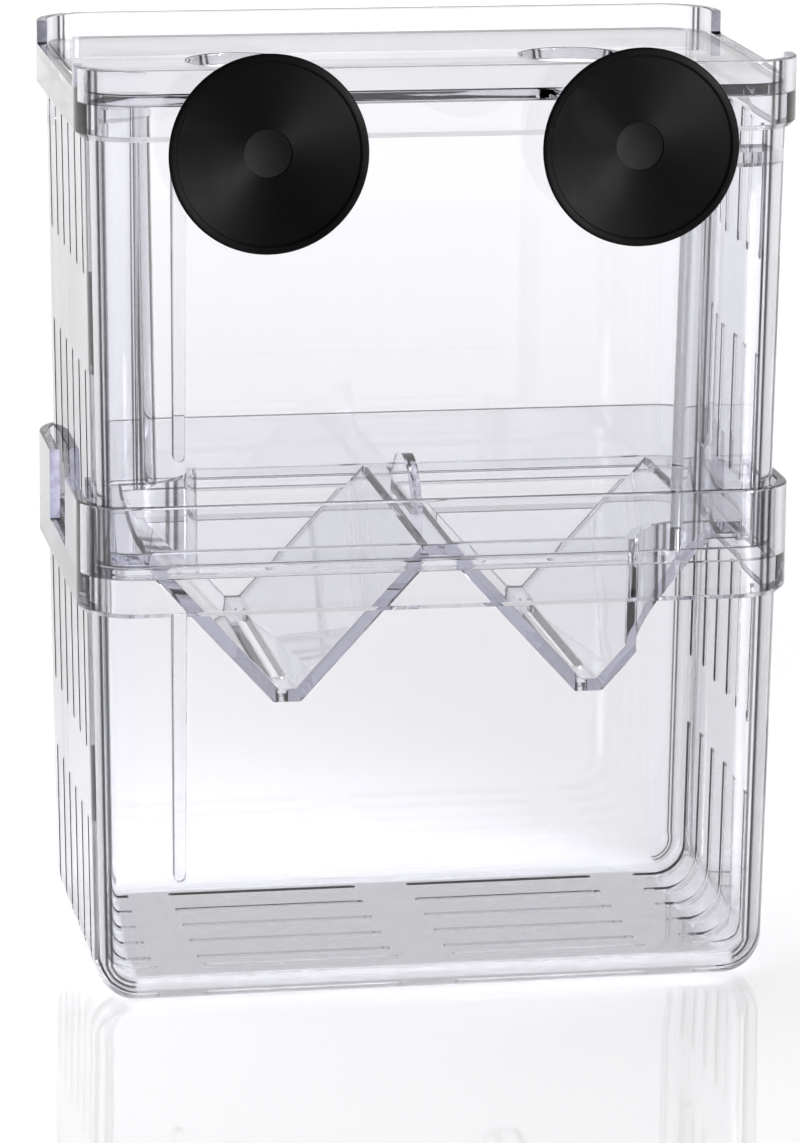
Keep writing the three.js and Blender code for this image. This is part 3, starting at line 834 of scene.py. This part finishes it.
# %% Channel walls and caps
CHANNEL_X, CHANNEL_Y, CHANNEL_RADIUS, CHANNEL_WALL = 42.1, 25.9, 10.0, 2.0
CAP_LOW, CAP_TOP, CAP_LIP = 152.2, 154.8, 0.15
END_X, END_Y, CAP_CORNER = 61.65, 36.8, 6.95


def channel_line(inward):
    """The chamber side of the quarter-round wall in plan, moved inwards to the corner."""
    left, back, radius = CHANNEL_X + inward, -CHANNEL_Y - inward, CHANNEL_RADIUS - inward
    curve = arc((left + radius, back - radius), radius, 180, 90, 14)
    return [(left, -END_Y)] + curve + [(END_X, back)]


def leaning(mesh, side):
    """Leans a shape of the front right corner outwards. side -1 turns it to the back left."""
    for point in mesh.vertices:
        lean = DRAFT * (point.co.z - UPPER["foot"] * MM)
        point.co.x = side * (point.co.x + lean)
        point.co.y = side * (point.co.y - lean)
    return mesh


channel = channel_line(0) + list(reversed(channel_line(CHANNEL_WALL)))
cap_end = arc((END_X - CAP_CORNER, CAP_CORNER - END_Y), CAP_CORNER, 0, -90)
for side in (1, -1):
    wall = prism("channel", channel, "z", UPPER["foot"] + HAIR / 2, CAP_TOP - 1)
    cap = prism("cap", channel_line(-CAP_LIP) + cap_end, "z", CAP_LOW, CAP_TOP, edge=0.2)
    combined(upper_box, [leaning(wall, side), leaning(cap, side)], "UNION")

# %% Slots of the upper box
upper_height = UPPER["collar"] - SEAT
low_start, low_stop, high_start = [SEAT + upper_height * part for part in (0.105, 0.442, 0.667)]
upper_rows = [("High slots", UPRIGHT, high_start, UPPER["collar"] - 0.6, -outer_x, outer_x),
              ("Low slots", UPRIGHT, low_start, low_stop, -outer_x, outer_x)]
cut_slots(upper_box, slotted_tree("Upper box slots", upper_rows), {**ROW, "Plastic": shell_plastic})

# %% Holes for the cups, and the upper box's finish
hole_profile = [(0, front_face - 3), (HOLE_RADIUS, front_face - 3),
                (HOLE_RADIUS, front_face + 7), (0, front_face + 7)]
both_holes = bmesh.new()
for x in (-CUP_X, CUP_X):
    both_holes.from_mesh(turned("hole", hole_profile, (x, 0, CUP_Z), "y", 49))
combined(upper_box, [finished_mesh("holes", both_holes)], "DIFFERENCE")
finish_piece(upper_box, shell_plastic)
paint_end_light(upper_box, UPPER_GAP / 2, UPPER["ledge"])

# %% [markdown]
# ## Tray
# The tray carries two V troughs. A newborn fry slips down a trough and through the slot in its
# floor, out of its mother's reach. All along its length the tray has one cross-section, a wide W
# of plates. So the W is drawn once, as a closed outline in width and height, and carried from
# front to back. A flange with an upright web goes round it, and rests on the lower box's ledge.

# %% Outline of the trough plates
PLATE, RIDGE, DECK_EDGE, TROUGH_DEPTH, TROUGH_FLOOR = 2.2, 5.3, 6.95, 28.2, 3.0
DECK_TOP, FLANGE_TOP, FLANGE_LOW = 84.7, SEAT, LOWER["ledge"] + HAIR
ROOM = 0.5
DECK_X = BOX_HALF[0] - COLLAR_STEP - WALL - upper_height * DRAFT - ROOM
DECK_INSET = BOX_HALF[0] - DECK_X
TROUGH_END = BOX_HALF[1] - COLLAR_STEP - WALL - lower_lean / 2 - ROOM
mouth = DECK_X - DECK_EDGE - RIDGE / 2
trough_x = (RIDGE + mouth) / 2
trough_low = DECK_TOP - TROUGH_DEPTH
trough_floor = trough_low + PLATE
slope = (DECK_TOP - trough_floor) / ((mouth - TROUGH_FLOOR) / 2)
across = PLATE / math.sin(math.atan(slope))


def inside_at(z):
    """Half the width between a trough's two plates at a height."""
    return TROUGH_FLOOR / 2 + (z - trough_floor) / slope


def tray_outline(hollow, edge_x, round_off=0.3):
    """The W of plates as (x, z) points, or the same underside with a level top."""
    top = [(edge_x, DECK_TOP)]
    if hollow:
        half_mouth, half_floor = inside_at(DECK_TOP), TROUGH_FLOOR / 2
        top += [(trough_x + half_mouth, DECK_TOP, round_off), (trough_x + half_floor, trough_floor),
                (trough_x - half_floor, trough_floor), (trough_x - half_mouth, DECK_TOP, round_off)]
    top += [(-x, *rest) for x, *rest in reversed(top)]
    low_x = inside_at(trough_low) + across
    high_x = inside_at(FLANGE_TOP) + across
    under = [(trough_x - high_x, FLANGE_TOP), (trough_x - low_x, trough_low, round_off),
             (trough_x + low_x, trough_low, round_off), (trough_x + high_x, FLANGE_TOP),
             (edge_x, FLANGE_TOP)]
    under = [(-x, *rest) for x, *rest in reversed(under)] + under
    return softened(top + under)


print("troughs at", round(trough_x, 2), "mm, slope",
      round(math.degrees(math.atan(slope)), 1), "degrees")


# %% Flange, web and plates
def box_mesh(low, high):
    """A plain box between two corners."""
    outline = [(low[0], low[1]), (high[0], low[1]), (high[0], high[1]), (low[0], high[1])]
    return prism("box", outline, "z", low[2], high[2])


def common(mesh, other):
    """What two meshes share, as a mesh."""
    helper = combined(new_object("helper", mesh), [other], "INTERSECT")
    made = helper.data
    bpy.data.objects.remove(helper)
    return made


FLANGE_INSET = RIM_WALL + 0.35
flange_profile = softened([
    (FLANGE_INSET, FLANGE_LOW, 0.3), (FLANGE_INSET, FLANGE_TOP, 0.3),
    (DECK_INSET, FLANGE_TOP, 0.2), (DECK_INSET, DECK_TOP, 0.3),
    (DECK_INSET + 2, DECK_TOP - 0.01), (DECK_INSET + 2, FLANGE_LOW, 0.3)])
tray = new_object("v_tray_moulding", carried_round("v_tray_moulding", flange_profile, True))
web_y = BOX_HALF[1] - DECK_INSET - 1
low_z, high_z = trough_low - 5, DECK_TOP + 5
plates = common(prism("plates", tray_outline(True, DECK_X - 1), "y", -web_y, web_y),
                box_mesh((-DECK_X, -web_y - 5, low_z), (DECK_X, web_y + 5, DECK_TOP - 0.01)))
ends = common(prism("ends", tray_outline(True, DECK_X - 1), "y", -TROUGH_END, TROUGH_END, 0.25),
              box_mesh((-DECK_X + 2, -50, low_z), (DECK_X - 2, 50, FLANGE_LOW + 0.5)))
combined(tray, [plates, ends], "UNION")
print("tray with its plates:", len(tray.data.polygons), "faces")


# %% Corner cut-outs with their walls
CUT_X, CUT_Y, CUT_RADIUS, CUT_WALL, FAR = 28.6, 17.06, 12, 1.8, 90


def corner_outline(grow, side):
    """A quarter-round cut-out in plan, grown outwards. side 1 is front right, -1 is back left."""
    left, back = BOX_HALF[0] - CUT_X - grow, -BOX_HALF[1] + CUT_Y + grow
    radius = CUT_RADIUS + grow
    curve = arc((left + radius, back - radius), radius, 180, 90, 14)
    return [(side * x, side * y) for x, y in [(left, -FAR)] + curve + [(FAR, back)]]


for side in (1, -1):
    grown = corner_outline(CUT_WALL, side) + [(side * FAR, side * -FAR)]
    skin = corner_outline(CUT_WALL + HAIR, side) + list(reversed(corner_outline(0, side)))
    combined(tray, [prism("cut", grown, "z", low_z, high_z)], "DIFFERENCE")
    below = common(prism("below", tray_outline(False, DECK_X - 1), "y", -TROUGH_END, TROUGH_END),
                   box_mesh((-DECK_X + 0.6, -TROUGH_END + 0.01, low_z),
                            (DECK_X - 0.6, TROUGH_END - 0.01, DECK_TOP - 0.02)))
    combined(tray, [common(prism("skin", skin, "z", low_z, high_z), below)], "UNION")

# %% Drain slots and the lifting tab
DRAIN_X, DRAIN_Y = 1.15, TROUGH_END * 0.73
TAB_HALF, TAB_HEIGHT, TAB_FOOT, TAB_THICK = 11, 9.3, FLANGE_TOP + 1.1, 2.1
drain = softened([(-DRAIN_X, -DRAIN_Y, 1.0), (DRAIN_X, -DRAIN_Y, 1.0),
                  (DRAIN_X, DRAIN_Y, 1.0), (-DRAIN_X, DRAIN_Y, 1.0)], 5)
for side in (-1, 1):
    placed = [(x + side * trough_x, y) for x, y in drain]
    combined(tray, [prism("drain", placed, "z", low_z, trough_floor + 3)], "DIFFERENCE")
turns = [math.pi * i / 28 for i in range(29)]
bow = [(-TAB_HALF * math.cos(t), DECK_TOP + TAB_HEIGHT * math.sin(t)) for t in turns]
tab = [(-TAB_HALF, TAB_FOOT)] + bow + [(TAB_HALF, TAB_FOOT)]
combined(tray, [prism("tab", tab, "x", -TAB_THICK / 2, TAB_THICK / 2, edge=0.5)], "UNION")
finish_piece(tray, tray_plastic)

# %% [markdown]
# ## Lid
# The lid is a flat plate in the upper box's collar, with two round holes for feeding. Its plate
# is carried round like the walls, and the holes are cut by turned shapes that flare at both
# faces, which leaves their edges rounded.

# %% Lid
LID_LOW, LID_HIGH, LID_INSET = UPPER["ledge"] + HAIR, 167.3, RIM_WALL + 0.4
LID_HOLE_X, LID_HOLE_Y = 30.9, 2.5
lid_profile = softened([(20, LID_LOW), (LID_INSET, LID_LOW, 0.35),
                        (LID_INSET, LID_HIGH, 0.35), (20, LID_HIGH)])[1:-1]
lid = new_object("lid_plate", carried_round("lid_plate", lid_profile, False))
hole = [(0, LID_LOW - 2), (10.6, LID_LOW - 2), (10.05, LID_LOW), (9.8, LID_LOW + 0.1),
        (9.7, LID_LOW + 0.35), (9.7, LID_HIGH - 0.35), (9.8, LID_HIGH - 0.1), (10.05, LID_HIGH),
        (10.6, LID_HIGH + 2), (0, LID_HIGH + 2)]
combined(lid, [turned("hole", hole, (x, LID_HOLE_Y, 0), "z", 120)
               for x in (-LID_HOLE_X, LID_HOLE_X)], "DIFFERENCE")
finish_piece(lid, lid_plastic)

# %% [markdown]
# ## Suction cups
# A suction cup is turned about its own axis: a thin hollow cone with a rounded lip, a small disc
# in its middle, a hub behind it and a plug that snaps through the wall. The rubber is nearly
# black. Fine rings from the mould draw its shine out into two opposite sectors, so the shader
# stretches it round the axis. The disc in the middle has no rings and shines evenly.

# %% Black rubber
def black_rubber(name, sweep, shine):
    """Rubber whose shine is drawn out round the cup's axis by sweep, from 0 to 1."""
    made = bpy.data.materials.new(name)
    made.use_nodes = True
    tree = made.node_tree
    link = tree.links.new
    surface = tree.nodes["Principled BSDF"]
    surface.inputs["IOR"].default_value = 1.5
    surface.inputs["Specular IOR Level"].default_value = shine
    surface.inputs["Anisotropic"].default_value = sweep
    surface.inputs["Anisotropic Rotation"].default_value = 0.25
    round_way = node(tree, "ShaderNodeTangent", (-500, -500), direction_type="RADIAL", axis="Y")
    link(round_way.outputs["Tangent"], surface.inputs["Tangent"])
    where = node(tree, "ShaderNodeTexCoord", (-1300, 0))
    cloud = node(tree, "ShaderNodeTexNoise", (-1000, 200), Scale=180.0, Detail=4.0)
    link(where.outputs["Object"], cloud.inputs["Vector"])
    tone = node(tree, "ShaderNodeValToRGB", (-750, 250))
    tone.color_ramp.elements[0].color = (0.0004, 0.0004, 0.0005, 1)
    tone.color_ramp.elements[1].color = (0.0012, 0.0012, 0.0013, 1)
    link(cloud.outputs["Fac"], tone.inputs["Fac"])
    link(tone.outputs["Color"], surface.inputs["Base Color"])
    rough = node(tree, "ShaderNodeMapRange", (-750, -50), From_Min=0.3, From_Max=0.7,
                 To_Min=0.48, To_Max=0.55)
    link(cloud.outputs["Fac"], rough.inputs["Value"])
    link(rough.outputs["Result"], surface.inputs["Roughness"])
    grain = node(tree, "ShaderNodeTexNoise", (-1000, -300), Scale=2600.0, Detail=2.0)
    link(where.outputs["Object"], grain.inputs["Vector"])
    bump = node(tree, "ShaderNodeBump", (-500, -300), Strength=0.25, Distance=0.00004)
    link(grain.outputs["Fac"], bump.inputs["Height"])
    link(bump.outputs["Normal"], surface.inputs["Normal"])
    return made


rubber = black_rubber("black rubber", 0.78, 0.047)
plain_rubber = black_rubber("plain black rubber", 0.0, 0.062)

# %% Turned cups
CUP_BACK = front_face - 0.3
CUP_LIP = CUP_BACK - 8.3
PLUG = front_face + COLLAR_STEP + WALL + 0.3
NECK, DISC, CUP = 2.3, 4.25, 17.6
cup_profile = softened([
    (0, PLUG + 3), (2.5, PLUG + 3, 0.7), (3.7, PLUG, 0.4), (NECK, PLUG, 0.2), (NECK, CUP_BACK, 0.2),
    (5.2, CUP_BACK, 0.4), (5.2, CUP_BACK - 1.8, 0.3), (17.0, CUP_LIP + 1.2, 0.4),
    (CUP, CUP_LIP + 0.6, 0.3), (CUP, CUP_LIP, 0.55), (16.35, CUP_LIP, 0.15),
    (16.0, CUP_LIP + 0.45, 0.2), (DISC, CUP_LIP + 1.5, 0.05), (DISC, CUP_LIP + 1.75, 0.05),
    (0, CUP_LIP + 1.75)])
cups = {}
for side, x in (("left", -CUP_X), ("right", CUP_X)):
    name = "suction_cup_" + side
    cups[name] = new_object(name + "_rubber", turned(name, cup_profile, (x, 0, CUP_Z), "y", 144))
    finish_piece(cups[name], rubber, 40)
    cups[name].data.materials.append(plain_rubber)
    for face in cups[name].data.polygons:
        middle = face.center / MM
        in_disc = math.hypot(middle.x - x, middle.z - CUP_Z) < DISC
        face.material_index = int(in_disc and middle.y < CUP_LIP + 3)

# %% [markdown]
# ## Riding on the bodies
# Each piece stands for one CAD node and rides on that node's body, so it moves with the joints.

# %% Replace the CAD nodes
pieces = [(lower_box, "lower_box", "clear_shell"), (upper_box, "upper_box", "clear_shell"),
          (tray, "v_tray", "clear_tray"), (lid, "lid", "clear_lid")]
pieces += [(obj, name, "rubber") for name, obj in cups.items()]
for obj, body, slot in pieces:
    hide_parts(body)
    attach(obj, body)
print("pieces:", [obj.name for obj, _, _ in pieces])
